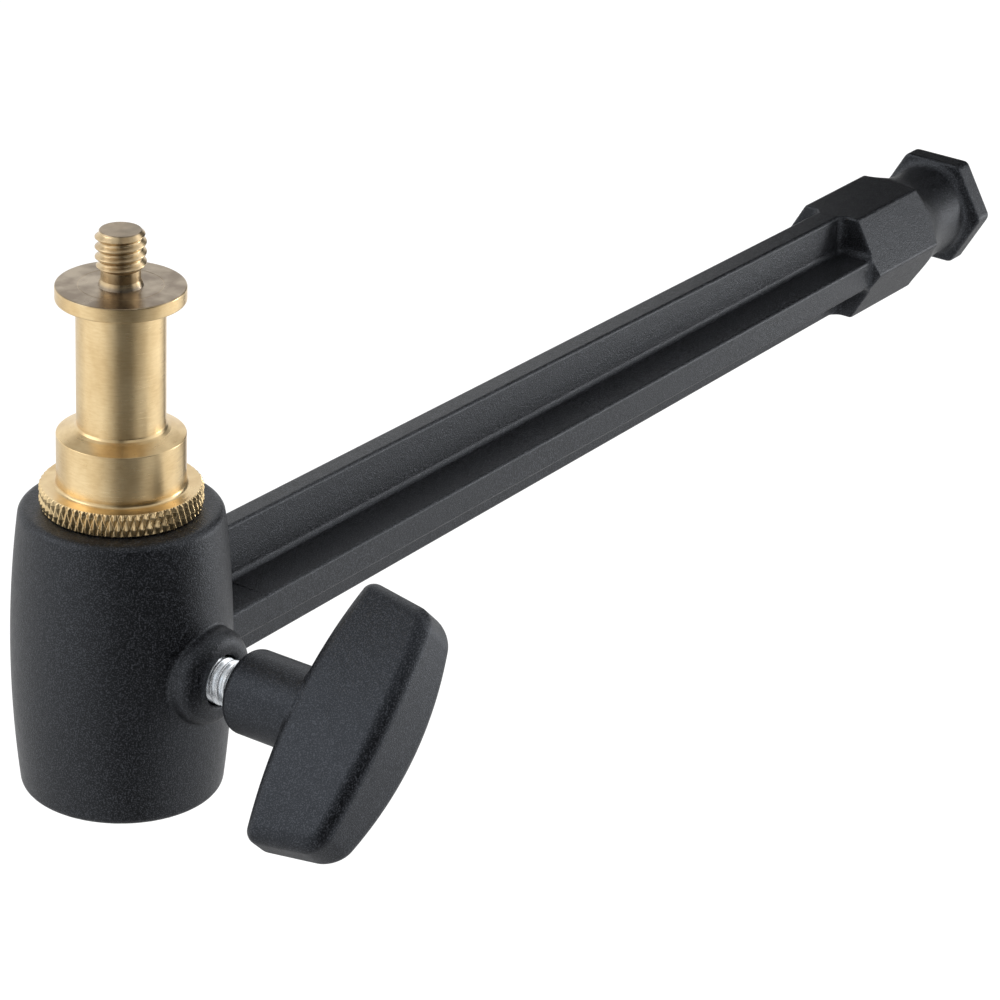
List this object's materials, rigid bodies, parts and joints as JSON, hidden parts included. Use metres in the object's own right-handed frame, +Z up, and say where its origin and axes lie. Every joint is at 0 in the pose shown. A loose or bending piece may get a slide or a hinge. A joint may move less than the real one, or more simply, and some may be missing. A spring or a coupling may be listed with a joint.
{
  "type": "grip extension arm",
  "caption": "Cast arm with a 16 mm socket and clamping knob at one end and a hexagonal 16 mm pin at the other; a brass spigot with a threaded stud stands in the socket.",
  "frame": {"origin": "centre of the hexagonal pin's end face, where the arm is clamped to a stand or clamp", "axes": "+X out of the pin's end face, away from the arm; +Z up along the spigot, square to two of the pin's flats; the knob points to -Y; the spigot's axis is at x = -0.2030, y = 0"},
  "size_m": [0.2169, 0.0572, 0.0745],
  "materials": {
    "powder_coat": "fine-grained matte black powder coat on cast aluminium",
    "brass": "bare turned brass with fine turning marks",
    "nylon": "matte black glass-filled nylon, finely textured",
    "zinc": "bright zinc plate on a steel screw",
    "pad_brass": "bare brass, unpolished"
  },
  "bodies": {
    "arm": {"arm_casting": "powder_coat"},
    "spigot": {"spigot": "brass"},
    "clamp_screw": {"pressure_pad": "pad_brass"},
    "knob": {"knob_handle": "nylon", "knob_screw": "zinc"}
  },
  "joints": [
    {"name": "spigot_swivel", "type": "hinge", "parent": "arm", "child": "spigot", "pos_m": [-0.203, 0, 0], "axis": [0, 0, 1], "continuous": true},
    {"name": "screw_advance", "type": "slide", "parent": "arm", "child": "clamp_screw", "axis": [0, -1, 0], "range_m": [0, 0.003]},
    {"name": "knob_turn", "type": "hinge", "parent": "clamp_screw", "child": "knob", "pos_m": [-0.203, -0.0198, 0], "axis": [0, -1, 0], "range_deg": [0, 1081]}
  ],
  "couplings": [
    {"joint": "knob_turn", "follows": "screw_advance", "rad_per_m": 6283.2}
  ]
}
